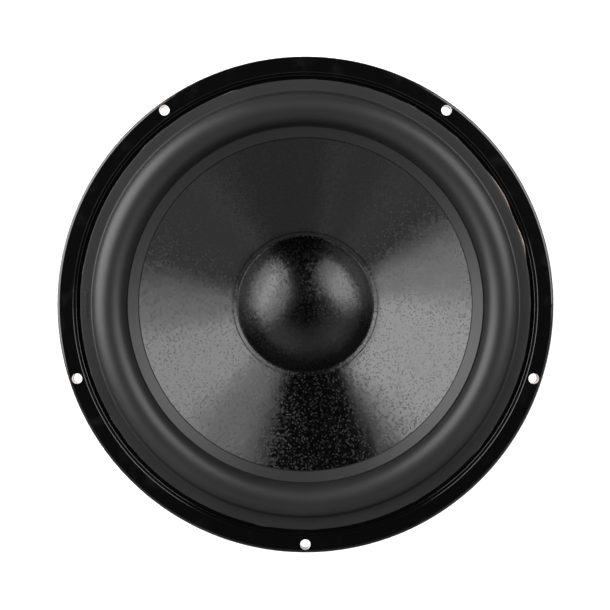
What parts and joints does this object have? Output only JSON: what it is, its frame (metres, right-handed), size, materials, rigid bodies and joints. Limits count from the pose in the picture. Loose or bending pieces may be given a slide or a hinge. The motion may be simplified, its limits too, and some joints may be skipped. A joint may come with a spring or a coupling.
{
  "type": "car subwoofer speaker",
  "caption": "Round car subwoofer driver with a woven cone, domed dust cap, rolled rubber surround, cast basket and booted magnet.",
  "frame": {"origin": "centre of the mounting plane: on the driver's axis, at the rear face of the flange's gasket, where it meets the baffle", "axes": "+Z along the driver's axis, out of the front; +Y towards the top, away from the single lowest flange hole and from the terminals; +X to the right as seen from the front"},
  "size_m": [0.261, 0.261, 0.1268],
  "materials": {
    "basket_paint": "gloss black powder coat on cast aluminium",
    "gasket_foam": "closed-cell foam, matte",
    "surround_rubber": "satin black rubber",
    "adhesive": "cured amber adhesive, glossy",
    "spider_cloth": "resin-dipped cotton cloth",
    "plated_steel": "zinc-plated steel, satin",
    "ferrite": "sintered ferrite, matte dark grey",
    "bare_aluminium": "turned aluminium",
    "black_screen": "black perforated sheet",
    "boot_rubber": "moulded satin rubber",
    "zinc_screw": "zinc-plated steel",
    "terminal_plastic": "moulded black plastic, fine texture",
    "terminal_metal": "gold-coloured plating",
    "spring_steel": "drawn spring wire",
    "solder": "soft solder, bright",
    "tinsel_braid": "braided tinned copper tinsel",
    "woven_cone": "woven fibre under a clear gloss coat",
    "dust_cap_cloth": "fine cloth under a clear coat",
    "former_film": "amber polyimide film",
    "collar_paper": "kraft paper wrap",
    "copper_winding": "enamelled copper wire",
    "copper_strip": "bare copper foil",
    "red_plastic": "moulded red plastic",
    "black_plastic": "moulded black plastic"
  },
  "bodies": {
    "frame": {"basket": "basket_paint", "mounting_gasket": "gasket_foam", "surround": "surround_rubber", "surround_glue": "adhesive", "spider": "spider_cloth", "front_plate": "plated_steel", "front_magnet": "ferrite", "rear_magnet": "ferrite", "t_yoke": "plated_steel", "shorting_ring": "bare_aluminium", "vent_screen": "black_screen", "magnet_boot": "boot_rubber", "frame_screws": "zinc_screw", "terminal_block": "terminal_plastic", "positive_contact": "terminal_metal", "negative_contact": "terminal_metal", "positive_spring": "spring_steel", "negative_spring": "spring_steel", "terminal_screws": "zinc_screw", "positive_lug_solder": "solder", "negative_lug_solder": "solder", "positive_tinsel_lead": "tinsel_braid", "negative_tinsel_lead": "tinsel_braid"},
    "cone_assembly": {"cone": "woven_cone", "dust_cap": "dust_cap_cloth", "voice_coil_former": "former_film", "former_collar": "collar_paper", "voice_coil_winding": "copper_winding", "neck_glue": "adhesive", "coil_lead_strips": "copper_strip", "coil_solder": "solder"},
    "positive_button": {"positive_button": "red_plastic"},
    "negative_button": {"negative_button": "black_plastic"}
  },
  "joints": [
    {"name": "cone_travel", "type": "slide", "parent": "frame", "child": "cone_assembly", "axis": [0, 0, 1], "range_m": [-0.01, 0.01], "stiffness_N_per_m": 2600, "deforming": ["surround", "spider", "positive_tinsel_lead", "negative_tinsel_lead"]},
    {"name": "positive_button_press", "type": "slide", "parent": "frame", "child": "positive_button", "axis": [0, 1, 0], "range_m": [0, 0.0025], "stiffness_N_per_m": 400, "springref_m": -0.003, "deforming": ["positive_spring"]},
    {"name": "negative_button_press", "type": "slide", "parent": "frame", "child": "negative_button", "axis": [0, 1, 0], "range_m": [0, 0.0025], "stiffness_N_per_m": 400, "springref_m": -0.003, "deforming": ["negative_spring"]}
  ]
}
